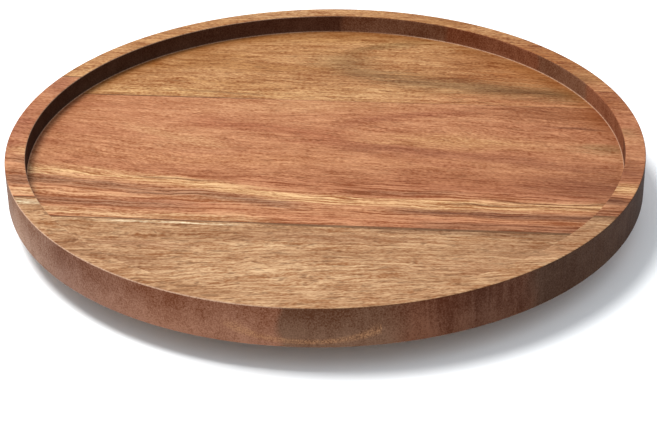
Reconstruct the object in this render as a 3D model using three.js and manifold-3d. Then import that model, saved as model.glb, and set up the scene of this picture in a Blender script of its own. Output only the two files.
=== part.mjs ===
// A round wooden lazy susan: a tray turned from three edge-glued boards, on a flat ball-bearing
// ring that stands on rubber feet. Millimetres, +Z up, z = 0 under the feet, the origin on the
// axis of rotation. The boards' grain runs along X, and -Y is the front.
import * as THREE from "three";
import { mergeVertices } from "three/addons/utils/BufferGeometryUtils.js";
import Module from "manifold-3d";

// Tray
const TRAY_RADIUS = 203;
const TRAY_THICKNESS = 26;
const RIM_WIDTH = 12.8;
const RECESS_DEPTH = 12.7;
const EDGE_ROUNDING = 0.8;
const FLOOR_FILLET = 0.8;
const REAR_GLUE_LINE_Y = 77;
const FRONT_GLUE_LINE_Y = -90.7;

// Bearing: two flat rings side by side, the outer one on feet, the inner one under the tray
const BEARING_RADIUS = 100;
const RING_WIDTH = 14.8;
const RING_THICKNESS = 9;
const RING_GAP = 2.4;
const RING_STEP = 2; // the inner ring stands this much higher, so that the tray clears the outer one
const RING_CHAMFER = 0.6;
const BALL_RADIUS = 2.5;
const BALL_COUNT = 20;
const RACE_CLEARANCE = 0.2;
const CAGE_THICKNESS = 1.2;
const CAGE_HEIGHT = 7.2;
const PLUG_RADIUS = 2.6;
const PLUG_SOCKET_RADIUS = 1.4;
const PLUG_SOCKET_DEPTH = 3;
const PLUG_ANGLE = Math.PI / 2; // at the back, between two feet

// Feet and screws
const FOOT_COUNT = 6;
const FOOT_HEIGHT = 5;
const FOOT_RADIUS = 6.2;
const FOOT_STEM_RADIUS = 2.2;
const FOOT_HEAD_RADIUS = 4.2;
const FOOT_CUP_RADIUS = 3;
const FOOT_CUP_DEPTH = 0.6;
const SCREW_COUNT = 6;
const SCREW_HEAD_RADIUS = 3.8;
const SCREW_SHANK_RADIUS = 1.9;
const SCREW_LENGTH = 18;
const SCREW_HEAD_INSET = 0.4;
const SCREW_TIP = 3.5;
const CROSS_WIDTH = 0.9;
const CROSS_DEPTH = 1.3;

// Spare room round a piece that sits in another's hole
const FIT_GAP = 0.3;

// Facets round a full turn
const TRAY_FACETS = 144;
const RING_FACETS = 60;
const CAGE_FACETS = 3 * BALL_COUNT;
const SMALL_FACETS = 12;
const HALF_SMALL_FACET = Math.PI / SMALL_FACETS;

// Heights and radii that follow
const outerRingBottom = FOOT_HEIGHT;
const outerRingTop = outerRingBottom + RING_THICKNESS;
const innerRingBottom = outerRingBottom + RING_STEP;
const trayBottom = innerRingBottom + RING_THICKNESS;
const trayTop = trayBottom + TRAY_THICKNESS;
const trayFloor = trayTop - RECESS_DEPTH;
const outerRingInside = BEARING_RADIUS - RING_WIDTH;
const innerRingOutside = outerRingInside - RING_GAP;
const innerRingInside = innerRingOutside - RING_WIDTH;
const pitchRadius = (outerRingInside + innerRingOutside) / 2;
const ballHeight = (outerRingTop + innerRingBottom) / 2;
const grooveRadius = BALL_RADIUS + RACE_CLEARANCE;
const footCircle = (outerRingInside + BEARING_RADIUS) / 2;
const screwCircle = (innerRingInside + innerRingOutside) / 2;

const acaciaGold = { color: 0xc48f5c, roughness: 0.5, metalness: 0 };
const acaciaRed = { color: 0xb57750, roughness: 0.5, metalness: 0 };
const acaciaTan = { color: 0xc69a68, roughness: 0.5, metalness: 0 };
const aluminium = { color: 0xb9bcc0, roughness: 0.35, metalness: 1 };
const steel = { color: 0xc8c9cc, roughness: 0.15, metalness: 1 };
const zincSteel = { color: 0xa9abac, roughness: 0.4, metalness: 1 };
const nylon = { color: 0xe4e0d4, roughness: 0.55, metalness: 0 };
const rubber = { color: 0x1d1d1e, roughness: 0.9, metalness: 0 };

const wasm = await Module();
wasm.setup();

const point = (radius, height) => new THREE.Vector2(radius, height);

// Points on an arc of a profile; angles in degrees, from first to last, both ends included.
function arc(centre, radius, first, last, steps) {
  return Array.from({ length: steps + 1 }, (_, i) => {
    const angle = THREE.MathUtils.degToRad(first + ((last - first) * i) / steps);
    return point(centre.x + radius * Math.cos(angle), centre.y + radius * Math.sin(angle));
  });
}

// A profile in (radius, height), anticlockwise, turned about the Z axis.
function turned(profile, facets) {
  return new THREE.LatheGeometry(profile, facets).rotateX(Math.PI / 2);
}

// The same for a small piece or cutter, turned half a facet on, so that none of its edges falls on
// an edge of the ring that it sits in.
function turnedSmall(profile) {
  return turned(profile, SMALL_FACETS).rotateZ(HALF_SMALL_FACET);
}

// A cylinder along X, turned half a facet on.
function crossCylinder(radius, length, facets) {
  const cylinder = new THREE.CylinderGeometry(radius, radius, length, facets);
  return cylinder.rotateY(Math.PI / facets).rotateZ(-Math.PI / 2);
}

function solidOf(geometry) {
  const bare = geometry.clone();
  bare.deleteAttribute("normal");
  bare.deleteAttribute("uv");
  const merged = mergeVertices(bare, 1e-4);
  const mesh = new wasm.Mesh({
    numProp: 3,
    vertProperties: merged.attributes.position.array,
    triVerts: new Uint32Array(merged.index.array),
  });
  return new wasm.Manifold(mesh);
}

function geometryOf(solid) {
  const { vertProperties, triVerts } = solid.getMesh();
  const geometry = new THREE.BufferGeometry();
  geometry.setAttribute("position", new THREE.BufferAttribute(vertProperties, 3));
  geometry.setIndex(new THREE.BufferAttribute(triVerts, 1));
  return geometry;
}

function part(name, geometry, finish) {
  const mesh = new THREE.Mesh(geometry, new THREE.MeshStandardMaterial(finish));
  mesh.name = name;
  return mesh;
}

// Angles, in radians, of pieces spread evenly round the axis.
function around(count, offset = 0) {
  return Array.from({ length: count }, (_, i) => ((i + offset) / count) * 2 * Math.PI);
}

// A copy of a geometry at a radius and an angle on a circle about the axis.
function onCircle(geometry, radius, angle) {
  return geometry.clone().translate(radius, 0, 0).rotateZ(angle);
}

function cutEach(solid, cutters) {
  return cutters.reduce((rest, cutter) => rest.subtract(solidOf(cutter)), solid);
}

// The three boards

function trayProfile() {
  const inside = TRAY_RADIUS - RIM_WIDTH;
  const e = EDGE_ROUNDING;
  return [
    point(0, trayBottom),
    ...arc(point(TRAY_RADIUS - e, trayBottom + e), e, -90, 0, 2),
    ...arc(point(TRAY_RADIUS - e, trayTop - e), e, 0, 90, 2),
    ...arc(point(inside + e, trayTop - e), e, 90, 180, 2),
    ...arc(point(inside - FLOOR_FILLET, trayFloor + FLOOR_FILLET), FLOOR_FILLET, 0, -90, 2),
    point(0, trayFloor),
  ];
}

// The pilot hole for one wood screw, on the axis.
function pilotHole() {
  const depth = SCREW_LENGTH - RING_THICKNESS + 2 * FIT_GAP;
  const hole = [
    point(0, trayBottom - 1),
    point(SCREW_SHANK_RADIUS + FIT_GAP, trayBottom - 1),
    point(SCREW_SHANK_RADIUS + FIT_GAP, trayBottom + depth),
    point(0, trayBottom + depth),
  ];
  return turnedSmall(hole);
}

// The part of the tray between two heights along Y, with half a glue gap off each glued edge.
function board(tray, lowY, highY) {
  const width = highY - lowY - FIT_GAP;
  const slab = new THREE.BoxGeometry(3 * TRAY_RADIUS, width, 3 * TRAY_RADIUS);
  slab.translate(0, (lowY + highY) / 2, 0);
  return geometryOf(tray.intersect(solidOf(slab)));
}

function boards() {
  const holes = around(SCREW_COUNT).map((angle) => onCircle(pilotHole(), screwCircle, angle));
  const tray = cutEach(solidOf(turned(trayProfile(), TRAY_FACETS)), holes);
  const edge = TRAY_RADIUS + FIT_GAP;
  return [
    part("board_rear", board(tray, REAR_GLUE_LINE_Y, edge), acaciaGold),
    part("board_centre", board(tray, FRONT_GLUE_LINE_Y, REAR_GLUE_LINE_Y), acaciaRed),
    part("board_front", board(tray, -edge, FRONT_GLUE_LINE_Y), acaciaTan),
  ];
}

// The bearing

// Half of the angle that the ball groove spans on a ring's side face, in degrees.
function grooveHalfAngle() {
  return THREE.MathUtils.radToDeg(Math.acos(RING_GAP / 2 / grooveRadius));
}

function outerRing() {
  const c = RING_CHAMFER;
  const half = grooveHalfAngle();
  const profile = [
    point(outerRingInside, outerRingBottom),
    point(BEARING_RADIUS - c, outerRingBottom),
    point(BEARING_RADIUS, outerRingBottom + c),
    point(BEARING_RADIUS, outerRingTop - c),
    point(BEARING_RADIUS - c, outerRingTop),
    point(outerRingInside, outerRingTop),
    ...arc(point(pitchRadius, ballHeight), grooveRadius, half, -half, 5),
    point(outerRingInside, outerRingBottom),
  ];
  const footHoles = around(FOOT_COUNT).map((angle) => onCircle(footHole(), footCircle, angle));
  const ring = solidOf(turned(profile, RING_FACETS));
  return part("bearing_outer_ring", geometryOf(cutEach(ring, [...footHoles, fillHole()])), aluminium);
}

function innerRing() {
  const c = RING_CHAMFER;
  const half = grooveHalfAngle();
  const profile = [
    point(innerRingInside + c, innerRingBottom),
    point(innerRingOutside, innerRingBottom),
    ...arc(point(pitchRadius, ballHeight), grooveRadius, 180 + half, 180 - half, 5),
    point(innerRingOutside, trayBottom),
    point(innerRingInside + c, trayBottom),
    point(innerRingInside, trayBottom - c),
    point(innerRingInside, innerRingBottom + c),
    point(innerRingInside + c, innerRingBottom),
  ];
  const holes = around(SCREW_COUNT).map((angle) => onCircle(screwHole(), screwCircle, angle));
  const ring = solidOf(turned(profile, RING_FACETS));
  return part("bearing_inner_ring", geometryOf(cutEach(ring, holes)), aluminium);
}

// A thin upright band with a round window for each ball.
function ballCage() {
  const low = ballHeight - CAGE_HEIGHT / 2;
  const high = ballHeight + CAGE_HEIGHT / 2;
  const inside = pitchRadius - CAGE_THICKNESS / 2;
  const outside = pitchRadius + CAGE_THICKNESS / 2;
  const corners = [point(inside, low), point(outside, low), point(outside, high), point(inside, high)];
  const window = crossCylinder(BALL_RADIUS + FIT_GAP, 4 * CAGE_THICKNESS, SMALL_FACETS);
  window.translate(0, 0, ballHeight);
  const windows = around(BALL_COUNT, 0.5).map((angle) => onCircle(window, pitchRadius, angle));
  const band = solidOf(turned([...corners, corners[0]], CAGE_FACETS));
  return part("ball_cage", geometryOf(cutEach(band, windows)), nylon);
}

function balls() {
  return around(BALL_COUNT, 0.5).map((angle, i) => {
    const geometry = new THREE.SphereGeometry(BALL_RADIUS, 10, 6).rotateX(Math.PI / 2);
    const ball = part(`ball_${String(i + 1).padStart(2, "0")}`, geometry, steel);
    ball.position.set(pitchRadius * Math.cos(angle), pitchRadius * Math.sin(angle), ballHeight);
    return ball;
  });
}

// The hole that the balls go in by, straight through the outer ring to its groove.
function fillHole() {
  const length = BEARING_RADIUS + 1 - pitchRadius;
  const hole = crossCylinder(PLUG_RADIUS + FIT_GAP, length, SMALL_FACETS);
  return hole.translate(pitchRadius + length / 2, 0, ballHeight).rotateZ(PLUG_ANGLE);
}

// The threadless screw plug that closes the fill hole, with a hexagon socket outwards.
function fillPlug() {
  const inner = pitchRadius + grooveRadius + FIT_GAP;
  const length = BEARING_RADIUS - FIT_GAP - inner;
  const body = crossCylinder(PLUG_RADIUS, length, SMALL_FACETS).translate(-length / 2, 0, 0);
  const socket = crossCylinder(PLUG_SOCKET_RADIUS, 2 * PLUG_SOCKET_DEPTH, 6);
  const plug = geometryOf(solidOf(body).subtract(solidOf(socket)));
  plug.translate(BEARING_RADIUS - FIT_GAP, 0, ballHeight).rotateZ(PLUG_ANGLE);
  return part("fill_plug", plug, zincSteel);
}

// Feet and screws

const footSinkBottom = outerRingTop - (FOOT_HEAD_RADIUS - FOOT_STEM_RADIUS) - 3 * FIT_GAP;

// A through hole with a 45 degree countersink in the ring's top face, for the foot's barb.
function footHole() {
  const narrow = FOOT_STEM_RADIUS + FIT_GAP;
  const mouth = narrow + outerRingTop + 1 - footSinkBottom;
  const profile = [
    point(0, outerRingBottom - 1),
    point(narrow, outerRingBottom - 1),
    point(narrow, footSinkBottom),
    point(mouth, outerRingTop + 1),
    point(0, outerRingTop + 1),
  ];
  return turnedSmall(profile);
}

// A push-in rubber foot: a pad with a shallow cup below, a stem, and a barb above.
function footGeometry() {
  const barbTop = footSinkBottom + FOOT_HEAD_RADIUS - FOOT_STEM_RADIUS + FIT_GAP;
  const profile = [
    point(0, FOOT_CUP_DEPTH),
    point(FOOT_CUP_RADIUS, FOOT_CUP_DEPTH),
    point(FOOT_CUP_RADIUS + FOOT_CUP_DEPTH, 0),
    ...arc(point(FOOT_RADIUS - 1, 1), 1, -90, 0, 2),
    point(FOOT_RADIUS - FIT_GAP, FOOT_HEIGHT),
    point(FOOT_STEM_RADIUS, FOOT_HEIGHT),
    point(FOOT_STEM_RADIUS, footSinkBottom + FIT_GAP),
    point(FOOT_HEAD_RADIUS, barbTop),
    point(FOOT_STEM_RADIUS, outerRingTop - FIT_GAP),
    point(0, outerRingTop - FIT_GAP),
  ];
  return turnedSmall(profile);
}

function feet() {
  return around(FOOT_COUNT).map((angle, i) =>
    part(`foot_${i + 1}`, onCircle(footGeometry(), footCircle, angle), rubber),
  );
}

const headBottom = innerRingBottom + SCREW_HEAD_INSET;
const headTop = headBottom + SCREW_HEAD_RADIUS - SCREW_SHANK_RADIUS;

// A through hole with a 90 degree countersink in the ring's lower face.
function screwHole() {
  const narrow = SCREW_SHANK_RADIUS + FIT_GAP;
  const sinkTop = headTop + FIT_GAP / 2;
  const profile = [
    point(0, innerRingBottom - 1),
    point(narrow + sinkTop - innerRingBottom + 1, innerRingBottom - 1),
    point(narrow, sinkTop),
    point(narrow, trayBottom + 1),
    point(0, trayBottom + 1),
  ];
  return turnedSmall(profile);
}

// A countersunk wood screw, point up, with a cross recess in its head.
function screwGeometry() {
  const tip = headBottom + SCREW_LENGTH;
  const profile = [
    point(0, headBottom),
    point(SCREW_HEAD_RADIUS, headBottom),
    point(SCREW_SHANK_RADIUS, headTop),
    point(SCREW_SHANK_RADIUS, tip - SCREW_TIP),
    point(0, tip),
  ];
  const slotLength = 1.1 * SCREW_HEAD_RADIUS;
  const slots = [0, Math.PI / 2].map((turn) => {
    const slot = new THREE.BoxGeometry(slotLength, CROSS_WIDTH, 2 * CROSS_DEPTH);
    return slot.rotateZ(turn).translate(0, 0, headBottom);
  });
  return geometryOf(cutEach(solidOf(turnedSmall(profile)), slots));
}

function screws() {
  const geometry = screwGeometry();
  return around(SCREW_COUNT).map((angle, i) =>
    part(`screw_${i + 1}`, onCircle(geometry, screwCircle, angle), zincSteel),
  );
}

// The whole turntable, in its three moving groups

const base = new THREE.Group();
base.add(outerRing(), fillPlug(), ...feet());

const cage = new THREE.Group();
cage.add(ballCage(), ...balls());

const tray = new THREE.Group();
tray.add(...boards(), innerRing(), ...screws());

const turntable = new THREE.Group();
turntable.add(base, cage, tray);

export default turntable;
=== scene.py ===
"""The looks of a round wooden lazy susan: three oiled acacia boards on a ball-bearing ring with
rubber feet. Metres, +Z up; the boards' grain runs along X and -Y is the front."""

import math

import bmesh
import bpy
from mathutils import Matrix, Vector


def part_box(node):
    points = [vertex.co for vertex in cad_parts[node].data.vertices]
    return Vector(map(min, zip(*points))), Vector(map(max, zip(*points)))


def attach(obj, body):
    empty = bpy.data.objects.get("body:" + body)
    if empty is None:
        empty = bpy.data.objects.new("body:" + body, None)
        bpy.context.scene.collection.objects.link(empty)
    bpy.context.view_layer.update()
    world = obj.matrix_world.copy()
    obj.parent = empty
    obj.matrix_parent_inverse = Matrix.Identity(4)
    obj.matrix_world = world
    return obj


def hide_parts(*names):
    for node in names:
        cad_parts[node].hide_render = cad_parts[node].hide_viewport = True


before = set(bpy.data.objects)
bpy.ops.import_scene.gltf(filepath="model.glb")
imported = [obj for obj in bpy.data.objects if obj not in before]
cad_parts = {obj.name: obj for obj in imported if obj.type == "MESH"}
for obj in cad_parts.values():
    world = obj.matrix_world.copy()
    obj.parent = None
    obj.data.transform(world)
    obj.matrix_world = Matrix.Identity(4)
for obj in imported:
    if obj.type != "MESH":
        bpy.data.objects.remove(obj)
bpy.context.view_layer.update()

# Driving dimensions, read from the CAD parts where their boxes give them
MM = 0.001
tray_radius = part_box("board_centre")[1].x
tray_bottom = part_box("board_centre")[0].z
tray_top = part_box("board_centre")[1].z
rear_glue_line = (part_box("board_rear")[0].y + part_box("board_centre")[1].y) / 2
front_glue_line = (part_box("board_centre")[0].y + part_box("board_front")[1].y) / 2
RIM_WIDTH = 12.8 * MM
RECESS_DEPTH = 12.7 * MM
EDGE_ROUNDING = 0.8 * MM
GLUE_GAP = 0.05 * MM
rim_inside = 1 - RIM_WIDTH / tray_radius  # in tray radii

bearing_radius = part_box("bearing_outer_ring")[1].x
outer_ring_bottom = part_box("bearing_outer_ring")[0].z
outer_ring_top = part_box("bearing_outer_ring")[1].z
inner_ring_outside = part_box("bearing_inner_ring")[1].x
inner_ring_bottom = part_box("bearing_inner_ring")[0].z
RING_WIDTH = 14.8 * MM
RING_ROUNDING = 0.6 * MM
outer_ring_inside = bearing_radius - RING_WIDTH
inner_ring_inside = inner_ring_outside - RING_WIDTH
pitch_radius = (outer_ring_inside + inner_ring_outside) / 2
ball_height = (outer_ring_top + inner_ring_bottom) / 2
GROOVE_RADIUS = 2.7 * MM
BALL_RADIUS = 2.5 * MM
BALL_COUNT = 20
CAGE_THICKNESS = 1.2 * MM
CAGE_HEIGHT = 7.2 * MM
PLUG_RADIUS = 2.6 * MM
PLUG_LENGTH = 12.7 * MM
SOCKET_RADIUS = 1.4 * MM
SOCKET_DEPTH = 3 * MM

FOOT_COUNT = 6
FOOT_RADIUS = 6.2 * MM
FOOT_STEM_RADIUS = 2.2 * MM
FOOT_HEAD_RADIUS = 4.2 * MM
FOOT_CUP_RADIUS = 3 * MM
FOOT_CUP_DEPTH = 0.6 * MM
SCREW_COUNT = 6
SCREW_HEAD_RADIUS = 3.8 * MM
SCREW_SHANK_RADIUS = 1.9 * MM
SCREW_CORE_RADIUS = 1.35 * MM
SCREW_LENGTH = 18 * MM
SCREW_TIP = 3.5 * MM
THREAD_PITCH = 1.6 * MM
THREAD_STEPS = 8
THREAD_END = 0.4 * MM  # this far short of the point
CROSS_WIDTH = 0.9 * MM
CROSS_DEPTH = 1.3 * MM
screw_head_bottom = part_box("screw_1")[0].z
screw_head_top = screw_head_bottom + SCREW_HEAD_RADIUS - SCREW_SHANK_RADIUS

# Spare room round a piece that sits in another's hole
FIT_GAP = 0.3 * MM
foot_circle = (outer_ring_inside + bearing_radius) / 2
screw_circle = (inner_ring_inside + inner_ring_outside) / 2
foot_sink_bottom = outer_ring_top - (FOOT_HEAD_RADIUS - FOOT_STEM_RADIUS) - 3 * FIT_GAP

TRAY_SEGMENTS = 384
RING_SEGMENTS = 240
SMALL_SEGMENTS = 40


# Camera, light and floor

# The view that the object is shown in: places in tray radii from the middle of the rim's top plane
CAMERA_AZIMUTH = math.radians(5.5)
CAMERA_RIGHT = 0.008
CAMERA_BACK = 5.267
CAMERA_UP = 2.738
CAMERA_PITCH = math.radians(29.73)
CAMERA_ROLL = math.radians(-0.79)
CAMERA_LENS = 103.2
SENSOR_WIDTH = 36
CLIP_NEAR = 0.05
CLIP_FAR = 50

KEY_PLACE = (-0.95, 0.16, 2.27)
KEY_SIZE = 1.1
KEY_POWER = 75
KEY_COLOUR = (1.0, 0.985, 0.96)
STUDIO_COLOUR = (0.965, 0.985, 1.015, 1)
STUDIO_STRENGTH = 0.76
FLOOR_HALF_WIDTH = 14
FLOOR_COLOUR = (0.90, 0.93, 0.955, 1)

# How bright a white top face is in this light, how much of the wood's light is its finish's own
# sheen, and the specular level that gives it
LIGHT_LEVEL = 1.69
SHEEN = 0.007
GLOSS = 0.06


def make_camera():
    data = bpy.data.cameras.new("camera")
    data.lens = CAMERA_LENS
    data.sensor_width = SENSOR_WIDTH
    data.clip_start = CLIP_NEAR
    data.clip_end = CLIP_FAR
    camera = bpy.data.objects.new("camera", data)
    bpy.context.scene.collection.objects.link(camera)
    turn = Matrix.Rotation(CAMERA_AZIMUTH, 4, "Z")
    place = turn @ Vector((CAMERA_RIGHT, -CAMERA_BACK, CAMERA_UP)) * tray_radius
    look = turn @ Matrix.Rotation(math.pi / 2 - CAMERA_PITCH, 4, "X")
    roll = Matrix.Rotation(CAMERA_ROLL, 4, "Z")
    camera.matrix_world = Matrix.Translation(place + Vector((0, 0, tray_top))) @ look @ roll
    bpy.context.scene.camera = camera


def area_light(name, place, target, size, power, colour):
    data = bpy.data.lights.new(name, "AREA")
    data.shape = "DISK"
    data.size = size
    data.energy = power
    data.color = colour
    light = bpy.data.objects.new(name, data)
    bpy.context.scene.collection.objects.link(light)
    light.location = place
    light.rotation_euler = (Vector(target) - Vector(place)).to_track_quat("-Z", "Y").to_euler()


def make_lights():
    """A high soft key from the left and behind, and a pale studio all round."""
    middle = (0, 0, tray_top)
    area_light("key", KEY_PLACE, middle, KEY_SIZE, KEY_POWER, KEY_COLOUR)
    world = bpy.data.worlds.new("studio")
    world.use_nodes = True
    background = world.node_tree.nodes["Background"]
    background.inputs["Color"].default_value = STUDIO_COLOUR
    background.inputs["Strength"].default_value = STUDIO_STRENGTH
    bpy.context.scene.world = world
    bpy.context.scene.view_settings.view_transform = "Standard"


def make_floor():
    mesh = bpy.data.meshes.new("floor")
    half = FLOOR_HALF_WIDTH
    corners = [(-half, -half, 0), (half, -half, 0), (half, half, 0), (-half, half, 0)]
    mesh.from_pydata(corners, [], [(0, 1, 2, 3)])
    floor = bpy.data.objects.new("floor", mesh)
    bpy.context.scene.collection.objects.link(floor)
    paint = Paint("pale_floor")
    paint.shader.inputs["Base Color"].default_value = FLOOR_COLOUR
    paint.shader.inputs["Roughness"].default_value = 0.9
    mesh.materials.append(paint.material)


# Shader nodes

# What a wood tone is multiplied by where it is deepest and where it is palest
DEEPER = (0.60, 0.41, 0.27)
PALER = (1.40, 1.59, 1.73)


class Paint:
    """A material built one node per call. An argument is a number, a colour or a node's output."""

    def __init__(self, name):
        self.material = bpy.data.materials.new(name)
        self.material.use_nodes = True
        self.tree = self.material.node_tree
        self.shader = self.tree.nodes["Principled BSDF"]

    def feed(self, socket, value):
        if isinstance(value, bpy.types.NodeSocket):
            self.tree.links.new(value, socket)
        elif value is not None:
            socket.default_value = value

    def node(self, kind, **settings):
        made = self.tree.nodes.new("ShaderNode" + kind)
        for name, value in settings.items():
            setattr(made, name, value)
        return made

    def math(self, operation, a, b=None, c=None):
        made = self.node("Math", operation=operation)
        for socket, value in zip(made.inputs, (a, b, c)):
            self.feed(socket, value)
        return made.outputs[0]

    def vector(self, x, y, z=0.0):
        made = self.node("CombineXYZ")
        for socket, value in zip(made.inputs, (x, y, z)):
            self.feed(socket, value)
        return made.outputs[0]

    def product(self, first, *others):
        for other in others:
            first = self.math("MULTIPLY", first, other)
        return first

    def total(self, first, *others):
        for other in others:
            first = self.math("ADD", first, other)
        return first

    def length(self, a, b):
        """How far the point (a, b) is from (0, 0)."""
        return self.math("SQRT", self.total(self.product(a, a), self.product(b, b)))

    def away(self, value, middle):
        """How far the value is from the middle, either way."""
        return self.math("ABSOLUTE", self.math("SUBTRACT", value, middle))

    def place(self):
        """x, y and z in the object's own frame, in tray radii."""
        coordinates = self.node("TexCoord")
        scaled = self.node("VectorMath", operation="SCALE")
        self.feed(scaled.inputs[0], coordinates.outputs["Object"])
        scaled.inputs["Scale"].default_value = 1 / tray_radius
        parts = self.node("SeparateXYZ")
        self.feed(parts.inputs[0], scaled.outputs[0])
        return parts.outputs

    def noise(self, where, scale=1.0, detail=2.0, rough=0.5, bend=0.0):
        made = self.node("TexNoise")
        self.feed(made.inputs["Vector"], where)
        made.inputs["Scale"].default_value = scale
        made.inputs["Detail"].default_value = detail
        made.inputs["Roughness"].default_value = rough
        made.inputs["Distortion"].default_value = bend
        return made.outputs["Fac"]

    def fade(self, value, start, end, low=0.0, high=1.0):
        """low where value is start, high where it is end, smooth between."""
        made = self.node("MapRange", interpolation_type="SMOOTHSTEP")
        names = ("Value", "From Min", "From Max", "To Min", "To Max")
        for name, given in zip(names, (value, start, end, low, high)):
            self.feed(made.inputs[name], given)
        return made.outputs["Result"]

    def ramp(self, value, stops, change="EASE"):
        made = self.node("ValToRGB")
        self.feed(made.inputs["Fac"], value)
        line = made.color_ramp
        line.interpolation = change
        while len(line.elements) < len(stops):
            line.elements.new(1.0)
        for element, (position, colour) in zip(line.elements, stops):
            element.position = position
            element.color = (*colour, 1)
        return made.outputs["Color"]

    def mix(self, share, a, b):
        made = self.node("Mix", data_type="RGBA")
        self.feed(made.inputs["Factor"], share)
        for socket, value in zip((made.inputs[6], made.inputs[7]), (a, b)):
            self.feed(socket, (*value, 1) if isinstance(value, tuple) else value)
        return made.outputs[2]

    def toned(self, colour, level):
        """Wood's own light and shade: deeper and redder below a level of 0.5, paler and yellower above."""
        made = self.node("VectorMath", operation="MULTIPLY")
        self.feed(made.inputs[0], colour)
        self.feed(made.inputs[1], self.mix(level, DEEPER, PALER))
        return made.outputs[0]

    def swing(self, noise, amount):
        """The noise's departure from its middle, times amount."""
        return self.math("MULTIPLY_ADD", noise, amount, -amount / 2)

    def facing_up(self):
        """The height part of the surface's direction: 1 on a level top, 0 on an upright wall."""
        parts = self.node("SeparateXYZ")
        self.feed(parts.inputs[0], self.node("NewGeometry").outputs["Normal"])
        return parts.outputs[2]

    def route(self, value, points):
        """A smooth curve through (value, result) points, both from -1 to 1."""
        made = self.node("FloatCurve")
        curve = made.mapping.curves[0]
        for given, result in points[1:-1]:
            curve.points.new((given + 1) / 2, (result + 1) / 2)
        curve.points[0].location = ((points[0][0] + 1) / 2, (points[0][1] + 1) / 2)
        curve.points[-1].location = ((points[-1][0] + 1) / 2, (points[-1][1] + 1) / 2)
        made.mapping.update()
        self.feed(made.inputs["Value"], self.math("MULTIPLY_ADD", value, 0.5, 0.5))
        return self.math("MULTIPLY_ADD", made.outputs[0], 2.0, -1.0)

    def bump(self, height, distance, strength=1.0):
        made = self.node("Bump")
        self.feed(made.inputs["Height"], height)
        made.inputs["Distance"].default_value = distance
        made.inputs["Strength"].default_value = strength
        self.feed(self.shader.inputs["Normal"], made.outputs[0])


DARKEST = 0.004


def linear(value):
    """The light of an sRGB value of 0 to 255, as a share of white's."""
    share = value / 255
    return share / 12.92 if share <= 0.04045 else ((share + 0.055) / 1.055) ** 2.4


def seen(red, green, blue, sheen=SHEEN):
    """The surface colour that shows as this sRGB colour on a top face in this light."""
    return tuple(max(DARKEST, linear(value) - sheen) / LIGHT_LEVEL for value in (red, green, blue))


def matte(red, green, blue):
    return seen(red, green, blue, sheen=0.0)


# Wood

# How far the grain strays sideways, in long sways and in short ripples
SWAY = 0.07
RIPPLE = 0.036


class Grain:
    """The flow of the wood's figure on a board's top face, shared by all that is painted on it."""

    def __init__(self, paint, seed, lean, lean_at, lean_reach):
        self.paint = paint
        self.x, self.y, self.z = paint.place()
        self.radius = paint.length(self.x, self.y)
        self.seed = seed
        sway = paint.noise(paint.vector(self.along(1.4), self.across(3.0), seed), detail=1.0)
        wave = paint.noise(paint.vector(self.along(6.0), self.across(16.0), seed + 3), detail=2.0)
        self.flow = paint.total(self.y, paint.swing(sway, SWAY), paint.swing(wave, RIPPLE))
        near = paint.fade(paint.away(self.y, lean_at), 0.0, lean_reach, 1.0, 0.0)
        self.fibre = paint.total(self.flow, paint.product(self.along(-lean), near))
        threads = self.strands(2.5, 150, detail=3.0, rough=0.8, bend=0.3, shift=4)
        self.threads = paint.fade(threads, 0.35, 0.58, 0.50, 1.15)

    def along(self, scale):
        return self.paint.math("MULTIPLY", self.x, scale)

    def across(self, scale):
        return self.paint.math("MULTIPLY", self.y, scale)

    def strands(self, along, across, detail=2.0, rough=0.5, bend=0.0, shift=0.0):
        """Noise drawn out along the grain, with so many features per tray radius each way."""
        paint = self.paint
        drawn_out = paint.vector(self.along(along), paint.product(self.fibre, across), self.seed + shift)
        return paint.noise(drawn_out, detail=detail, rough=rough, bend=bend)

    def frayed(self, distance, reach, shift):
        """1 at no distance and 0 well past 1, broken up into strands, most of all at its edge."""
        paint = self.paint
        strands = self.strands(3.5, 120, detail=4.0, rough=0.75, bend=0.4, shift=shift)
        shape = paint.fade(paint.total(distance, paint.swing(strands, reach)), 0.15, 1.45, 1.0, 0.0)
        return paint.product(shape, self.threads)

    def streak(self, points, half_width):
        """A drawn line of the figure through (x, y) points in tray radii."""
        paint = self.paint
        off = paint.away(self.flow, paint.route(self.x, points))
        core = self.frayed(paint.math("DIVIDE", off, half_width), 3.4, shift=points[0][1] * 40)
        start, end = points[0][0], points[-1][0]
        first = paint.fade(self.x, start - 0.04, start + 0.12)
        last = paint.fade(self.x, end - 0.12, end + 0.04, 1.0, 0.0)
        return paint.product(core, first, last)

    def seam(self, y, first, last, half_width):
        """A straight hard line beside a joint, that starts and ends softly."""
        paint = self.paint
        core = paint.fade(paint.away(self.y, y), half_width / 3, half_width, 1.0, 0.0)
        start = paint.fade(self.x, first, first + 0.12)
        end = paint.fade(self.x, last, last - 0.10)
        return paint.product(core, self.threads, start, end)

    def patch(self, x, y, half_length, half_width):
        """A ragged oval of the figure."""
        paint = self.paint
        dx = paint.math("DIVIDE", paint.math("SUBTRACT", self.x, x), half_length)
        dy = paint.math("DIVIDE", paint.math("SUBTRACT", self.flow, y), half_width)
        return self.frayed(paint.length(dx, dy), 2.6, shift=x * 40)

    def corner(self, left, right):
        """The painted shade in the corner between floor and rim, where the rim shades the floor, on the
        back half, from the left strength to the right one."""
        paint = self.paint
        near = paint.fade(self.radius, rim_inside - 0.08, rim_inside + 0.01)
        inside = paint.math("LESS_THAN", self.radius, rim_inside)
        upper = paint.math("GREATER_THAN", self.z, (tray_bottom + RECESS_DEPTH / 2) / tray_radius)
        back = paint.fade(self.y, -0.1, 0.45)
        share = paint.fade(self.x, -0.6, 0.6, left, right)
        return paint.product(near, inside, upper, back, share)


# Between these places across the boards, in tray radii, the threads strengthen
STREAKY_BAND = (-0.13, -0.21)
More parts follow.
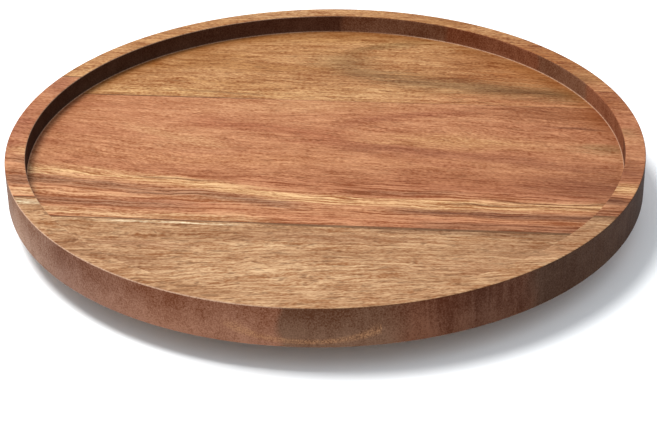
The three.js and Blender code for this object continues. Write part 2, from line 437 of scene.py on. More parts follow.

# The tones of the pores and fibres, of the pale growth ring and of the painted highlights on the lit edge
# roundings
PORE_TONE = seen(112, 74, 48)
FIBRE_TONE = seen(96, 62, 42)
PALE_RING_TONE = seen(184, 128, 88)
EDGE_HIGHLIGHT_TONE = seen(238, 196, 166)

# What is drawn on each board: its ground from dark to light, then its own patches, streaks and seams as
# (kind, colour, strength, shape...), how coarse and strong its finer layers are, and the strengths at left
# and right and the tone of the painted shade in the recess's back corner
GOLD = {
    "seed": 11.0,
    "lean": (-0.06, 0.6, 0.3),
    "ground": [seen(178, 124, 78), seen(192, 139, 93), seen(201, 149, 102)],
    "figure": [
        ("patch", seen(188, 124, 86), 0.85, 0.68, 0.40, 0.46, 0.060),
        ("patch", seen(160, 99, 58), 0.90, 0.66, 0.62, 0.38, 0.18),
        ("patch", seen(166, 112, 64), 0.60, -0.05, 0.87, 0.50, 0.05),
        ("patch", seen(206, 160, 116), 0.75, -0.30, 0.94, 0.30, 0.05),
        ("patch", seen(168, 112, 72), 0.75, 0.50, 0.73, 0.18, 0.05),
        ("patch", seen(204, 152, 106), 0.60, -0.46, 0.56, 0.16, 0.05),
        ("patch", seen(176, 122, 80), 0.55, -0.74, 0.55, 0.13, 0.06),
        ("patch", seen(206, 156, 104), 0.70, -0.50, 0.42, 0.38, 0.035),
        ("patch", seen(204, 154, 106), 0.50, 0.10, 0.44, 0.22, 0.05),
        ("patch", seen(146, 108, 70), 0.60, 0.00, 0.69, 0.13, 0.07),
        ("patch", seen(166, 112, 72), 0.75, 0.02, 0.55, 0.16, 0.06),
        ("streak", seen(142, 104, 70), 0.85,
         [(-0.05, 0.64), (0.2, 0.56), (0.5, 0.50), (0.85, 0.45)], 0.058),
        ("streak", seen(112, 76, 48), 0.70, [(0.45, 0.50), (0.7, 0.475), (0.85, 0.455)], 0.022),
        ("streak", seen(142, 106, 68), 0.70, [(-0.02, 0.72), (0.08, 0.79), (0.30, 0.86)], 0.030),
        ("streak", seen(136, 92, 60), 0.75, [(-0.56, 0.428), (-0.4, 0.422), (-0.22, 0.408)], 0.007),
    ],
    "layers": (1.3, 2.2, 2.0, 0.0, 0.0, 1.8),
    "mottle_size": (13, 68),
    "dashes": (24, 130, 0.34),
    "glue_tone": seen(150, 104, 70),
    "corner": (0.75, 0.40),
    "corner_shade_tone": seen(146, 86, 38),
}
RED = {
    "seed": 23.0,
    "lean": (-0.13, 0.08, 0.55),
    "ground": [seen(182, 118, 84), seen(193, 131, 93), seen(201, 141, 101)],
    "figure": [
        ("patch", seen(200, 136, 98), 0.60, -0.70, 0.22, 0.35, 0.16),
        ("patch", seen(204, 148, 104), 0.70, -0.05, 0.34, 0.35, 0.05),
        ("streak", seen(210, 156, 112), 0.60, [(-0.70, 0.17), (-0.5, 0.10), (-0.3, 0.03)], 0.030),
        ("streak", seen(174, 106, 74), 0.80, [(-0.50, 0.23), (-0.2, 0.17), (0.12, 0.09)], 0.050),
        ("streak", seen(166, 102, 72), 0.75,
         [(-0.02, 0.17), (0.12, 0.23), (0.3, 0.29), (0.5, 0.31)], 0.028),
        ("patch", seen(202, 148, 100), 0.70, 0.42, 0.11, 0.30, 0.05),
        ("patch", seen(178, 112, 80), 0.60, 0.36, 0.00, 0.28, 0.035),
        ("patch", seen(178, 114, 82), 0.55, -0.38, 0.00, 0.20, 0.035),
        ("patch", seen(154, 94, 62), 0.95, 0.74, 0.34, 0.28, 0.09),
        ("patch", seen(134, 84, 58), 0.85, 0.900, -0.36, 0.05, 0.04),
        ("patch", seen(142, 92, 68), 0.70, -0.915, -0.33, 0.05, 0.05),
        ("patch", seen(168, 104, 78), 0.70, -0.975, 0.00, 0.05, 0.16),
        ("patch", seen(170, 112, 86), 0.60, -0.920, 0.31, 0.05, 0.08),
        ("patch", seen(172, 108, 74), 0.60, 0.72, 0.18, 0.20, 0.05),
        ("patch", seen(166, 102, 70), 0.80, 0.44, -0.15, 0.58, 0.065),
        ("patch", seen(150, 86, 50), 0.60, 0.90, 0.30, 0.12, 0.10),
        ("patch", seen(160, 122, 84), 0.60, 0.88, 0.09, 0.12, 0.035),
        ("streak", seen(126, 78, 56), 0.70, [(0.68, 0.23), (0.8, 0.22), (0.94, 0.205)], 0.009),
        ("streak", seen(158, 98, 70), 0.70,
         [(0.0, 0.07), (0.4, 0.02), (0.7, -0.03), (0.98, -0.07)], 0.036),
        ("patch", seen(202, 140, 98), 0.60, -0.20, -0.04, 0.55, 0.05),
        ("streak", seen(178, 114, 80), 0.75,
         [(-0.90, -0.085), (-0.5, -0.115), (-0.15, -0.195), (0.2, -0.22)], 0.042),
        ("patch", seen(140, 84, 60), 0.80, 0.85, -0.165, 0.25, 0.08),
        ("streak", seen(150, 108, 82), 0.80,
         [(-0.98, -0.215), (-0.6, -0.25), (-0.3, -0.295), (-0.02, -0.345)], 0.030),
        ("streak", seen(144, 102, 78), 0.60, [(-0.98, -0.350), (-0.6, -0.352), (-0.35, -0.358)], 0.028),
        ("streak", seen(210, 154, 112), 0.65, [(-0.95, -0.30), (-0.6, -0.303), (-0.2, -0.325)], 0.018),
        ("streak", seen(212, 164, 120), 0.85, [(-0.95, -0.41), (-0.6, -0.412), (-0.1, -0.436)], 0.024),
        ("streak", seen(130, 85, 63), 0.90,
         [(0.20, -0.344), (0.4, -0.340), (0.6, -0.352), (0.98, -0.368)], 0.024),
        ("streak", seen(140, 98, 74), 0.40, [(0.05, -0.240), (0.25, -0.235), (0.48, -0.222)], 0.014),
        ("streak", seen(219, 169, 120), 1.00,
         [(-0.98, -0.155), (-0.5, -0.19), (-0.15, -0.27), (0.4, -0.29), (0.98, -0.278)], 0.032),
        ("streak", seen(130, 84, 56), 0.85, [(-0.60, -0.165), (-0.45, -0.18), (-0.3, -0.20)], 0.007),
        ("streak", seen(120, 76, 50), 0.60, [(0.35, -0.30), (0.6, -0.285), (0.98, -0.30)], 0.007),
        ("streak", seen(120, 76, 50), 0.80, [(0.50, -0.26), (0.75, -0.265), (0.98, -0.255)], 0.006),
        ("patch", seen(218, 168, 118), 0.90, 0.935, -0.275, 0.04, 0.034),
        ("streak", seen(200, 134, 96), 0.60, [(-0.15, -0.40), (0.1, -0.415), (0.35, -0.42)], 0.018),
        ("seam", seen(146, 96, 70), 0.72, -0.423, 0.26, 1.02, 0.030),
    ],
    "layers": (0.7, 1.8, 1.5, 2.2, 3.4, 1.5),
    "mottle_size": (13, 68),
    "dashes": (24, 120, 0.22),
    "glue_tone": seen(96, 66, 50),
    "corner": (0.50, 0.55),
    "corner_shade_tone": seen(140, 76, 42),
}
TAN = {
    "seed": 37.0,
    "lean": (0.15, -0.90, 0.45),
    "ground": [seen(182, 136, 98), seen(197, 151, 111), seen(208, 164, 122)],
    "figure": [
        ("patch", seen(166, 118, 86), 0.58, 0.04, -0.515, 0.28, 0.040),
        ("patch", seen(168, 118, 88), 0.55, -0.52, -0.575, 0.18, 0.026),
        ("patch", seen(186, 136, 100), 0.60, 0.62, -0.66, 0.30, 0.05),
        ("patch", seen(212, 168, 126), 0.50, -0.15, -0.72, 0.40, 0.07),
        ("patch", seen(170, 124, 90), 0.80, -0.59, -0.70, 0.19, 0.11),
        ("patch", seen(210, 162, 120), 0.45, -0.72, -0.53, 0.10, 0.04),
        ("patch", seen(206, 160, 118), 0.35, 0.30, -0.55, 0.16, 0.03),
        ("patch", seen(168, 122, 88), 0.75, 0.72, -0.54, 0.24, 0.10),
        ("patch", seen(222, 196, 160), 0.95, -0.86, -0.463, 0.06, 0.016),
        ("seam", seen(150, 108, 78), 0.75, -0.4600, 0.12, 1.02, 0.027),
        ("seam", seen(104, 74, 52), 0.75, -0.4530, -0.20, 1.02, 0.006),
        ("seam", seen(214, 176, 136), 0.50, -0.4595, -0.86, -0.50, 0.008),
        ("seam", seen(230, 200, 162), 1.00, -0.4600, -0.64, -0.18, 0.008),
    ],
    "layers": (0.8, 2.4, 2.1, 0.0, 0.0, 1.4),
    "mottle_size": (11, 84),
    "dashes": (20, 95, 0.50),
    "glue_tone": seen(130, 92, 64),
    "corner": (0.0, 0.0),
    "corner_shade_tone": seen(140, 76, 42),
}


def end_grain(paint, grain):
    """The rim's walls: blocks of end grain that differ in tone, with the key light's light and shade
    painted into the tones, stippled with pores, with blotches, upright streaks and one pale growth ring
    low at the front, and painted bounce light that makes them lighter towards the bottom, except at the
    right. Gives the colour and the stipple."""
    turn = paint.math("ARCTAN2", grain.y, grain.x)
    wander = paint.noise(paint.vector(turn, grain.z, 2.0), scale=14, detail=0)
    share = paint.math("MULTIPLY_ADD", paint.total(turn, paint.swing(wander, 0.05)), 0.5 / math.pi, 0.5)
    colour = paint.ramp(share, wall_stops(), "LINEAR")
    solid = paint.vector(grain.x, grain.y, grain.z)
    blotches = paint.noise(solid, scale=9, detail=3, rough=0.6, bend=0.8)
    upright_at = paint.vector(grain.along(26), grain.across(26), paint.product(grain.z, 5))
    upright = paint.noise(upright_at, detail=4, rough=0.7, bend=0.3)
    stipple = paint.noise(solid, scale=210, detail=2, rough=0.7)
    dotted = paint.fade(stipple, 0.40, 0.60, 0.15, 1.0)
    colour = paint.mix(paint.product(growth_ring(paint, grain, turn), dotted), colour, PALE_RING_TONE)
    striped = paint.product(paint.fade(share, *STRIPES_START), paint.fade(share, *STRIPES_END))
    # Painted bounce light from the floor: darker at the top of the walls and lighter at the bottom, except
    # on the right
    low = paint.fade(grain.z, tray_top / tray_radius, tray_bottom / tray_radius, -0.22, 0.28)
    level = paint.total(
        paint.math("ADD", paint.swing(blotches, 1.0), 0.5),
        paint.product(paint.swing(upright, 1.0), paint.math("MULTIPLY_ADD", striped, 1.5, 0.6)),
        paint.product(low, paint.fade(grain.x, 0.75, 0.45)),
        paint.swing(stipple, 2.3),
    )
    return paint.toned(colour, level), stipple


# The pale ring: its heart's turn round the tray and height, and its half width and half height
HEART_TURN = -1.53
HEART_HEIGHT = 0.150
HALF_RING_WIDTH = 0.21
HALF_RING_HEIGHT = 0.052


def growth_ring(paint, grain, turn):
    """The lower half of an oval ring on the outer wall at the front."""
    across = paint.math("DIVIDE", paint.math("SUBTRACT", turn, HEART_TURN), HALF_RING_WIDTH)
    up = paint.math("DIVIDE", paint.math("SUBTRACT", grain.z, HEART_HEIGHT), HALF_RING_HEIGHT)
    line = paint.fade(paint.away(paint.length(across, up), 1.0), 0.04, 0.22, 0.65, 0.0)
    outside = paint.math("LESS_THAN", grain.y, -0.97)
    return paint.product(line, outside, paint.fade(up, 0.2, -0.5))


# Between these shares of a turn the upright streaks strengthen, and then weaken
STRIPES_START = (0.295, 0.310)
STRIPES_END = (0.375, 0.360)

# Tones of end grain with painted light and shade in them: the palest is a painted sheen where the key
# light falls, the darkest two hold painted shade
PALE_SHEEN = matte(178, 138, 114)
ROSE = matte(150, 106, 86)
RUSSET = matte(162, 108, 82)
CINNAMON = matte(158, 98, 68)
BROWN = matte(146, 100, 74)
OLIVE = matte(128, 90, 68)
COPPER = matte(124, 76, 54)
MAROON = matte(106, 67, 49)
DARK = matte(84, 57, 42)
SHADED = matte(66, 42, 31)

# The tones of the walls round the rim, from the left by way of the front, as shares of a turn. They are
# the blocks' own tones with painted light and shade: a painted sheen and painted light on the outer wall
# at the left, where the key light falls, and painted shade on the outer wall at the right and on the inner
# wall at the back and left. Two tones at a place are a crisp joint between blocks; the others run into
# each other
WALL_TONES = [
    (0.000, SHADED),
    (0.032, SHADED, MAROON),
    (0.080, PALE_SHEEN),
    (0.130, ROSE),
    (0.190, RUSSET),
    (0.245, RUSSET, OLIVE),
    (0.290, OLIVE),
    (0.305, COPPER),
    (0.335, MAROON),
    (0.357, MAROON),
    (0.368, DARK),
    (0.425, DARK),
    (0.482, SHADED, COPPER),
    (0.508, COPPER, CINNAMON),
    (0.575, CINNAMON, BROWN),
    (0.623, BROWN, CINNAMON),
    (0.690, CINNAMON, BROWN),
    (0.750, BROWN, MAROON),
    (0.900, DARK),
    (1.000, SHADED),
]

# How wide a joint is, as a share of a turn
JOINT = 0.001


def wall_stops():
    stops = []
    for place, *tones in WALL_TONES:
        stops += [(place + JOINT * i, tone) for i, tone in enumerate(tones)]
    return stops


def glue_shade(paint, grain, lines):
    """1 on the glue lines, 0 away from them. The rear one is a close match but for its left end."""
    shade = 0.0
    for line in lines:
        shown = paint.fade(paint.away(grain.y, line / tray_radius), 0.0015, 0.0060, 1.0, 0.0)
        if line > 0:
            shown = paint.product(shown, paint.fade(grain.x, -0.40, -0.15, 1.0, 0.25))
        shade = paint.math("MAXIMUM", shown, shade)
    return shade


def painted_edge_highlight(paint, grain, up):
    """Painted highlights where the key light catches the roundings: the outer edge at the front left, the
    inner edge at the left, and the foot of the inner wall at the back right."""
    rounding = paint.fade(paint.product(up, paint.math("SUBTRACT", 1.0, up)), 0.08, 0.2)
    turned = EDGE_ROUNDING / tray_radius
    outer = paint.math("GREATER_THAN", grain.radius, 1 - 2 * turned)
    inner = paint.math("COMPARE", grain.radius, rim_inside + turned / 2, turned)
    foot = paint.math("COMPARE", grain.radius, rim_inside - turned / 2, turned * 0.9)
    low = paint.math("LESS_THAN", grain.z, (tray_top - RECESS_DEPTH / 2) / tray_radius)
    left = paint.fade(grain.x, 0.1, -0.2, 0.0, 0.8)
    front_left = paint.product(outer, left, paint.fade(grain.y, -0.3, -0.5))
    inner_left = paint.product(inner, left, 0.5)
    back_right = paint.product(foot, low, paint.fade(grain.x, 0.05, 0.3, 0.0, 0.6))
    shown = paint.total(front_left, inner_left, back_right)
    return paint.product(rounding, paint.math("MINIMUM", shown, 1.0))


def wood(name, look, lines):
    """Oiled wood: figure, mottle, dark dashes and fine fibres on the faces, end grain on the walls, with
    painted shade in the recess's back corner, painted highlights on the lit edge roundings and painted
    light and shade in the walls' tones.
    """
    paint = Paint(name)
    grain = Grain(paint, look["seed"], *look["lean"])
    broad = grain.strands(1.3, 9.0, detail=3.0, rough=0.55, bend=0.4)
    dark, middle, light = look["ground"]
    colour = paint.ramp(broad, [(0.32, dark), (0.50, middle), (0.68, light)])
    for kind, tone, strength, *shape in look["figure"]:
        mask = {"patch": grain.patch, "seam": grain.seam, "streak": grain.streak}[kind](*shape)
        colour = paint.mix(paint.product(mask, strength), colour, tone)

    cloud, mottle, thread, extra, ribbon, grit = look["layers"]
    clouds = grain.strands(4, 22, detail=3.0, rough=0.6, bend=0.4, shift=2)
    mottles = grain.strands(*look["mottle_size"], detail=4.0, rough=0.8, bend=0.3, shift=1)
    threads = grain.strands(6, 125, detail=3.0, rough=0.7, bend=0.2, shift=5)
    ribbons = grain.strands(1.8, 95, detail=3.0, rough=0.75, bend=0.3, shift=8)
    grits = grain.strands(80, 240, detail=1.0, shift=6)
    streaky = paint.fade(grain.y, *STREAKY_BAND)
    level = paint.total(
        paint.product(paint.swing(ribbons, ribbon), streaky),
        paint.product(paint.swing(threads, 1.0), paint.math("MULTIPLY_ADD", streaky, extra, thread)),
        paint.swing(clouds, cloud),
        paint.swing(mottles, mottle),
        paint.swing(grits, grit),
    )
    colour = paint.toned(colour, paint.math("ADD", level, 0.5))

    along, across, strength = look["dashes"]
    dashes = grain.strands(along, across, detail=2.0, rough=0.6, bend=1.0, shift=7)
    colour = paint.mix(paint.fade(dashes, 0.52, 0.66, 0.0, strength), colour, PORE_TONE)
    fibres = grain.strands(26, 420, detail=2.0, rough=0.7, shift=9)
    colour = paint.mix(paint.fade(fibres, 0.58, 0.76, 0.0, 0.45), colour, FIBRE_TONE)
    glued = paint.product(glue_shade(paint, grain, lines), 0.85)
    colour = paint.mix(glued, colour, look["glue_tone"])
    # Painted shade in the back corner of the recess, where the rim shades the floor
    colour = paint.mix(grain.corner(*look["corner"]), colour, look["corner_shade_tone"])

    wall, stipple = end_grain(paint, grain)
    up = paint.facing_up()
    on_wall = paint.fade(paint.math("ABSOLUTE", up), 0.80, 0.45)
    # Painted highlights on the lit edge roundings, broken up by the stipple
    worn = paint.product(painted_edge_highlight(paint, grain, up), paint.fade(stipple, 0.3, 0.6, 0.4, 1.0))
    colour = paint.mix(worn, paint.mix(on_wall, colour, wall), EDGE_HIGHLIGHT_TONE)
    paint.feed(paint.shader.inputs["Base Color"], colour)
    rough = paint.fade(mottles, 0.3, 0.7, 0.46, 0.60)
    paint.feed(paint.shader.inputs["Roughness"], paint.math("MULTIPLY_ADD", on_wall, 0.2, rough))
    paint.shader.inputs["Specular IOR Level"].default_value = GLOSS
    relief = paint.total(paint.product(fibres, -0.6), paint.product(mottles, 0.5))
    paint.bump(paint.math("MULTIPLY_ADD", stipple, 0.3, relief), 0.15 * MM, 0.5)
    return paint.material


# Metal, nylon and rubber

# Tool marks to a tray radius
TOOL_MARKS = 900


def turned_aluminium():
    """Machined rings: fine concentric tool marks, a few smudges."""
    paint = Paint("turned_aluminium")
    x, y, z = paint.place()
    section = paint.vector(paint.product(paint.length(x, y), TOOL_MARKS), paint.product(z, TOOL_MARKS))
    marks = paint.noise(section, detail=2.0)
    smudges = paint.noise(paint.vector(x, y, z), scale=9, detail=4.0, rough=0.6)
    paint.shader.inputs["Metallic"].default_value = 1.0
    tone = paint.mix(paint.fade(smudges, 0.35, 0.7), (0.74, 0.75, 0.77), (0.60, 0.61, 0.62))
    paint.feed(paint.shader.inputs["Base Color"], tone)
    worn = paint.total(paint.fade(smudges, 0.3, 0.7, 0.26, 0.42), paint.swing(marks, 0.12))
    paint.feed(paint.shader.inputs["Roughness"], worn)
    paint.bump(marks, 0.03 * MM, 0.6)
    return paint.material


def plain_metal(name, light, dark, smooth, rough, grain_size):
    paint = Paint(name)
    x, y, z = paint.place()
    where = paint.vector(x, y, z)
    cloud = paint.noise(where, scale=60, detail=4.0, rough=0.6)
    speckle = paint.noise(where, scale=grain_size, detail=2.0)
    paint.shader.inputs["Metallic"].default_value = 1.0
    paint.feed(paint.shader.inputs["Base Color"], paint.mix(paint.fade(cloud, 0.35, 0.65), light, dark))
    worn = paint.total(paint.fade(cloud, 0.3, 0.7, smooth, rough), paint.swing(speckle, 0.1))
    paint.feed(paint.shader.inputs["Roughness"], worn)
    paint.bump(speckle, 0.02 * MM, 0.5)
    return paint.material


def moulded(name, light, dark, smooth, rough, relief):
    """Nylon or rubber as it comes out of a mould: a faint mottle and a fine pebbled skin."""
    paint = Paint(name)
    x, y, z = paint.place()
    where = paint.vector(x, y, z)
    mottle = paint.noise(where, scale=30, detail=4.0, rough=0.65)
    skin = paint.noise(where, scale=700, detail=2.0)
    paint.feed(paint.shader.inputs["Base Color"], paint.mix(paint.fade(mottle, 0.3, 0.7), light, dark))
    paint.feed(paint.shader.inputs["Roughness"], paint.fade(mottle, 0.3, 0.7, smooth, rough))
    paint.bump(skin, relief, 0.5)
    return paint.material


# Meshes

# A radius so small is on the axis, and an edge sharper than this is shaded sharp
ON_AXIS = 1e-7
SHARP_EDGE = math.radians(35)


def rounded(corners, steps=4, hold=1.5):
    """A profile of (radius, height) points from corners (radius, height, rounding), with an arc at
    each rounded corner and a holding point a little way along the flat on each side of it."""
    profile = []
    for i, (r, z, rounding) in enumerate(corners):
        corner = Vector((r, z))
        if not rounding:
            profile.append(corner)
            continue
        before = (Vector(corners[i - 1][:2]) - corner).normalized()
        after = (Vector(corners[(i + 1) % len(corners)][:2]) - corner).normalized()
        half = before.angle(after) / 2
        centre = corner + (before + after).normalized() * rounding / math.sin(half)
        start = corner + before * rounding / math.tan(half)
        end = corner + after * rounding / math.tan(half)
        sweep = (start - centre).angle_signed(end - centre)
        if hold:
            profile.append(start + before * rounding * hold)
        for step in range(steps + 1):
            profile.append(centre + Matrix.Rotation(-sweep * step / steps, 2) @ (start - centre))
        if hold:
            profile.append(end + after * rounding * hold)
    return profile


def arc(centre, radius, first, last, steps):
    """Points on an arc of a profile, from one angle in degrees to another."""
    turns = (math.radians(first + (last - first) * i / steps) for i in range(steps + 1))
    return [Vector((centre[0] + radius * math.cos(t), centre[1] + radius * math.sin(t))) for t in turns]


def sharp(points):
    return [Vector(p) for p in points]


def lathe(profile, segments, closed=False, swell=None):
    """A bmesh turned about Z from an anticlockwise profile. One that isn't closed starts and ends
    on the axis. swell(turn, z) gives what to add to the radius, for a thread."""
    mesh = bmesh.new()
    rings = []
    for r, z in profile:
        if r < ON_AXIS:
            rings.append([mesh.verts.new((0, 0, z))] * segments)
            continue
        ring = []
        for i in range(segments):
            turn = 2 * math.pi * i / segments
            reach = r + (swell(turn, z) if swell else 0)
            ring.append(mesh.verts.new((reach * math.cos(turn), reach * math.sin(turn), z)))
        rings.append(ring)
    pairs = list(zip(rings, rings[1:]))
    if closed:
        pairs.append((rings[-1], rings[0]))
    for low, high in pairs:
        for i in range(segments):
            j = (i + 1) % segments
            corners = list(dict.fromkeys((low[i], low[j], high[j], high[i])))
            if len(corners) > 2:
                mesh.faces.new(corners)
    bmesh.ops.recalc_face_normals(mesh, faces=mesh.faces)
    return mesh


def moved(mesh, matrix):
    bmesh.ops.transform(mesh, matrix=matrix, verts=mesh.verts)
    return mesh


def on_circle(radius, turn, height=0.0):
    return Matrix.Rotation(turn, 4, "Z") @ Matrix.Translation((radius, 0, height))


def around(count, offset=0.0):
    """The turns of so many places, evenly round a circle."""
    return [2 * math.pi * (i + offset) / count for i in range(count)]


def holes(profile, radius, count):
    """The same small turned cutter at so many places round a circle."""
    return [moved(lathe(profile, SMALL_SEGMENTS), on_circle(radius, turn)) for turn in around(count)]


BACK = math.pi / 2
OUTWARD = Matrix.Rotation(math.pi / 2, 4, "Y")


def data_of(mesh, name):
    data = bpy.data.meshes.new(name)
    mesh.to_mesh(data)
    mesh.free()
    return data


def carved(mesh, cutters, name):
    """The mesh's data with each cutter taken out of it."""
    target = bpy.data.objects.new(name, data_of(mesh, name))
    bpy.context.scene.collection.objects.link(target)
    tools = []
    for cutter in cutters:
        tool = bpy.data.objects.new("cutter", data_of(cutter, "cutter"))
        bpy.context.scene.collection.objects.link(tool)
        modifier = target.modifiers.new("cut", "BOOLEAN")
        modifier.operation = "DIFFERENCE"
        modifier.solver = "EXACT"
        modifier.object = tool
        tools.append(tool)
    depsgraph = bpy.context.evaluated_depsgraph_get()
    data = bpy.data.meshes.new_from_object(target.evaluated_get(depsgraph))
    data.name = name
    for used in (target, *tools):
        bpy.data.objects.remove(used)
    return data


def show(name, data, material, body, nodes):
    """The finished piece in the scene, riding on its body in place of its CAD nodes."""
    for polygon in data.polygons:
        polygon.use_smooth = True
    data.set_sharp_from_angle(angle=SHARP_EDGE)
    data.materials.clear()
    data.materials.append(material)
    piece = bpy.data.objects.new(name, data)
    bpy.context.scene.collection.objects.link(piece)
    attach(piece, body)
    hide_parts(*nodes)


# The tray

def tray_profile():
    inside = tray_radius - RIM_WIDTH
    floor = tray_top - RECESS_DEPTH
    return rounded([
        (0, tray_bottom, 0),
        (tray_radius, tray_bottom, EDGE_ROUNDING),
        (tray_radius, tray_top, EDGE_ROUNDING),
        (inside, tray_top, EDGE_ROUNDING),
        (inside, floor, EDGE_ROUNDING),
        (0, floor, 0),
    ])


def board(low, high):
    """The part of the turned tray between two glue lines; None where there is none."""
    mesh = lathe(tray_profile(), TRAY_SEGMENTS)
    for line, side in ((low, 1), (high, -1)):
        if line is None:
            continue
        cut = bmesh.ops.bisect_plane(
            mesh,
            geom=[*mesh.verts, *mesh.edges, *mesh.faces],
            plane_co=(0, line + side * GLUE_GAP / 2, 0),
            plane_no=(0, -side, 0),
            clear_outer=True,
        )
        edges = [e for e in cut["geom_cut"] if isinstance(e, bmesh.types.BMEdge)]
        bmesh.ops.contextual_create(mesh, geom=edges)
    bmesh.ops.recalc_face_normals(mesh, faces=mesh.faces)
    return mesh


def pilot_holes():
    radius = SCREW_SHANK_RADIUS + FIT_GAP
    top = screw_head_bottom + SCREW_LENGTH + FIT_GAP
    profile = sharp([(0, tray_bottom - MM), (radius, tray_bottom - MM), (radius, top), (0, top)])
    return holes(profile, screw_circle, SCREW_COUNT)


def make_boards():
    boards = [
        ("rear_board", rear_glue_line, None, GOLD, "board_rear", "acacia_gold"),
        ("centre_board", front_glue_line, rear_glue_line, RED, "board_centre", "acacia_red"),
        ("front_board", None, front_glue_line, TAN, "board_front", "acacia_tan"),
    ]
    for name, low, high, look, node, slot in boards:
        cutters = pilot_holes() if look is RED else []
        lines = [line for line in (low, high) if line is not None]
        data = carved(board(low, high), cutters, name)
        show(name, data, wood(slot, look, lines), "tray", [node])


# The bearing

def groove(first, last):
    return arc((pitch_radius, ball_height), GROOVE_RADIUS, first, last, 12)


def groove_half_angle():
    half_gap = (outer_ring_inside - inner_ring_outside) / 2
    return math.degrees(math.acos(half_gap / GROOVE_RADIUS))


def foot_holes():
    narrow = FOOT_STEM_RADIUS + FIT_GAP
    mouth = narrow + outer_ring_top + MM - foot_sink_bottom
    profile = sharp([
        (0, outer_ring_bottom - MM),
        (narrow, outer_ring_bottom - MM),
        (narrow, foot_sink_bottom),
        (mouth, outer_ring_top + MM),
        (0, outer_ring_top + MM),
    ])
    return holes(profile, foot_circle, FOOT_COUNT)


def rod(radius, start, end, segments=SMALL_SEGMENTS):
    """A plain round bar along Z, for cutting with."""
    return lathe(sharp([(0, start), (radius, start), (radius, end), (0, end)]), segments)


def fill_hole():
    hole = rod(PLUG_RADIUS + FIT_GAP, pitch_radius, bearing_radius + MM)
    return moved(hole, on_circle(0, BACK, ball_height) @ OUTWARD)


def make_outer_ring(material):
    half = groove_half_angle()
    e = RING_ROUNDING
    outside = rounded([
        (outer_ring_inside, outer_ring_bottom, 0),
        (bearing_radius, outer_ring_bottom, e),
        (bearing_radius, outer_ring_top, e),
        (outer_ring_inside, outer_ring_top, 0),
    ])
    ring = lathe(outside + groove(half, -half), RING_SEGMENTS, closed=True)
    data = carved(ring, [*foot_holes(), fill_hole()], "outer_ring")
    show("outer_ring", data, material, "base", ["bearing_outer_ring"])


def screw_holes():
    narrow = SCREW_SHANK_RADIUS + FIT_GAP
    sink_top = screw_head_top + FIT_GAP / 2
    below = inner_ring_bottom - MM
    profile = sharp([
        (0, below),
        (narrow + sink_top - below, below),
        (narrow, sink_top),
        (narrow, tray_bottom + MM),
        (0, tray_bottom + MM),
    ])
    return holes(profile, screw_circle, SCREW_COUNT)


def make_inner_ring(material):
    half = groove_half_angle()
    e = RING_ROUNDING
    inside = rounded([
        (inner_ring_outside, tray_bottom, 0),
        (inner_ring_inside, tray_bottom, e),
        (inner_ring_inside, inner_ring_bottom, e),
        (inner_ring_outside, inner_ring_bottom, 0),
    ])
    ring = lathe(inside + groove(180 + half, 180 - half), RING_SEGMENTS, closed=True)
    data = carved(ring, screw_holes(), "inner_ring")
    show("inner_ring", data, material, "tray", ["bearing_inner_ring"])


def make_cage():
    """The nylon band between the rings, with a round window for each ball."""
    low = ball_height - CAGE_HEIGHT / 2
    high = ball_height + CAGE_HEIGHT / 2
    inside = pitch_radius - CAGE_THICKNESS / 2
    outside = pitch_radius + CAGE_THICKNESS / 2
    e = CAGE_THICKNESS / 4
    corners = [(inside, low, e), (outside, low, e), (outside, high, e), (inside, high, e)]
    band = rounded(corners, steps=3, hold=0)
    windows = []
    for turn in around(BALL_COUNT, 0.5):
        window = rod(BALL_RADIUS + FIT_GAP, -2 * CAGE_THICKNESS, 2 * CAGE_THICKNESS)
        windows.append(moved(window, on_circle(pitch_radius, turn, ball_height) @ OUTWARD))
    data = carved(lathe(band, RING_SEGMENTS, closed=True), windows, "cage_band")
    nylon = moulded("nylon", (0.74, 0.71, 0.62), (0.66, 0.62, 0.52), 0.42, 0.58, 0.03 * MM)
    show("cage_band", data, nylon, "cage", ["ball_cage"])


def make_balls():
    steel = plain_metal("ball_steel", (0.78, 0.79, 0.80), (0.70, 0.71, 0.72), 0.08, 0.2, 900)
    half_circle = arc((0, 0), BALL_RADIUS, -90, 90, 20)
    half_circle[0].x = half_circle[-1].x = 0
    for i in range(BALL_COUNT):
        body = f"ball_{i + 1:02d}"
        low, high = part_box(body)
        ball = moved(lathe(half_circle, SMALL_SEGMENTS), Matrix.Translation((low + high) / 2))
        name = f"steel_{body}"
        show(name, data_of(ball, name), steel, body, [body])


def make_plug(material):
    """The hexagon-socket plug in the fill hole at the back."""
    chamfer = PLUG_RADIUS / 6
    body = lathe(sharp([
        (0, 0),
        (PLUG_RADIUS - chamfer, 0),
        (PLUG_RADIUS, chamfer),
        (PLUG_RADIUS, PLUG_LENGTH - chamfer),
        (PLUG_RADIUS - chamfer, PLUG_LENGTH),
        (0, PLUG_LENGTH),
    ]), SMALL_SEGMENTS)
    socket = rod(SOCKET_RADIUS, PLUG_LENGTH - SOCKET_DEPTH, PLUG_LENGTH + MM, segments=6)
    data = carved(body, [socket], "plug")
    start = bearing_radius - FIT_GAP - PLUG_LENGTH
    data.transform(on_circle(start, BACK, ball_height) @ OUTWARD)
    show("plug", data, material, "base", ["fill_plug"])


# Feet and screws

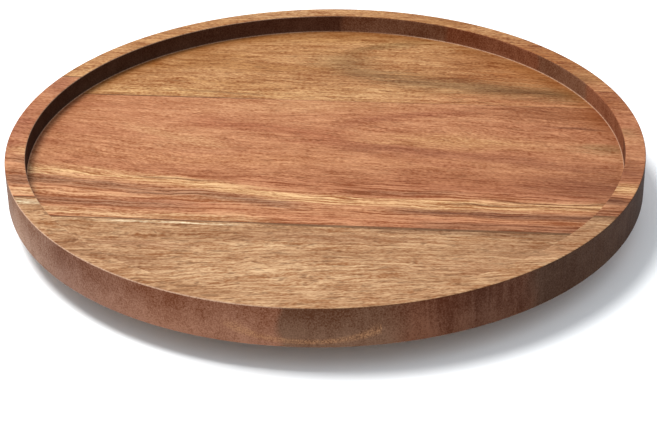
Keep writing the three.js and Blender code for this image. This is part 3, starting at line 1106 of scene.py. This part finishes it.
def make_feet():
    rubber = moulded("rubber", (0.022, 0.022, 0.023), (0.045, 0.044, 0.043), 0.7, 0.92, 0.05 * MM)
    barb_top = foot_sink_bottom + FOOT_HEAD_RADIUS - FOOT_STEM_RADIUS + FIT_GAP
    crown = outer_ring_top - FIT_GAP
    profile = rounded([
        (0, FOOT_CUP_DEPTH, 0),
        (FOOT_CUP_RADIUS, FOOT_CUP_DEPTH, 0.3 * MM),
        (FOOT_CUP_RADIUS + FOOT_CUP_DEPTH, 0, 0.2 * MM),
        (FOOT_RADIUS, 0, 1.0 * MM),
        (FOOT_RADIUS - FIT_GAP, outer_ring_bottom - 0.05 * MM, 0.4 * MM),
        (FOOT_STEM_RADIUS, outer_ring_bottom - 0.05 * MM, 0),
        (FOOT_STEM_RADIUS, foot_sink_bottom + FIT_GAP, 0),
        (FOOT_HEAD_RADIUS, barb_top, 0.3 * MM),
        (FOOT_STEM_RADIUS, crown, 0.3 * MM),
        (0, crown, 0),
    ], hold=0)
    for i, turn in enumerate(around(FOOT_COUNT)):
        name = f"rubber_foot_{i + 1}"
        foot = moved(lathe(profile, SMALL_SEGMENTS), on_circle(foot_circle, turn))
        show(name, data_of(foot, name), rubber, "base", [f"foot_{i + 1}"])


def screw_mesh():
    """A countersunk wood screw, point up, with a cut thread and a tapered point."""
    tip = screw_head_bottom + SCREW_LENGTH
    thread_start = screw_head_top + 2 * MM
    step = THREAD_PITCH / THREAD_STEPS
    rows = round((tip - THREAD_END - thread_start) / step)
    heights = [thread_start + step * i for i in range(rows)]

    def room(z):
        """How far out the crest may stand at this height: full, then closing in on the point."""
        run_in = min(1.0, (z - thread_start) / THREAD_PITCH)
        taper = min(1.0, (tip - z) / SCREW_TIP)
        return max(0.0, run_in) * taper * (SCREW_SHANK_RADIUS - SCREW_CORE_RADIUS)

    def core(z):
        return SCREW_CORE_RADIUS * min(1.0, (tip - z) / SCREW_TIP)

    def thread(turn, z):
        if z < thread_start or z >= tip:
            return 0
        phase = (z / THREAD_PITCH - turn / (2 * math.pi)) % 1
        return room(z) * max(0.0, 1 - abs(phase - 0.5) * 4)

    profile = [
        (0, screw_head_bottom),
        (SCREW_HEAD_RADIUS - 0.1 * MM, screw_head_bottom),
        (SCREW_HEAD_RADIUS, screw_head_bottom + 0.15 * MM),
        (SCREW_SHANK_RADIUS, screw_head_top),
        (SCREW_SHANK_RADIUS, thread_start - THREAD_PITCH / 4),
        *((core(z), z) for z in heights),
        (0, tip),
    ]
    return lathe(sharp(profile), SMALL_SEGMENTS, swell=thread)


def cross_recess():
    """The two crossed slots in the screw's head, narrower at the bottom."""
    slots = []
    for turn in (0, math.pi / 2):
        slot = bmesh.new()
        bmesh.ops.create_cube(slot, size=1)
        for vertex in slot.verts:
            deep = 0.6 if vertex.co.z > 0 else 1.0
            vertex.co.x *= 1.1 * SCREW_HEAD_RADIUS * deep
            vertex.co.y *= CROSS_WIDTH * deep
            vertex.co.z *= 2 * CROSS_DEPTH
        place = Matrix.Translation((0, 0, screw_head_bottom)) @ Matrix.Rotation(turn, 4, "Z")
        slots.append(moved(slot, place))
    return slots


def make_screws(material):
    data = carved(screw_mesh(), cross_recess(), "screw")
    for i, turn in enumerate(around(SCREW_COUNT)):
        name = f"wood_screw_{i + 1}"
        copy = data.copy()
        copy.transform(on_circle(screw_circle, turn))
        show(name, copy, material, "tray", [f"screw_{i + 1}"])


def make_bearing():
    aluminium = turned_aluminium()
    zinc = plain_metal("zinc_steel", (0.62, 0.64, 0.66), (0.50, 0.50, 0.48), 0.30, 0.48, 500)
    make_outer_ring(aluminium)
    make_inner_ring(aluminium)
    make_cage()
    make_balls()
    make_plug(zinc)
    make_feet()
    make_screws(zinc)


make_camera()
make_lights()
make_floor()
make_boards()
make_bearing()
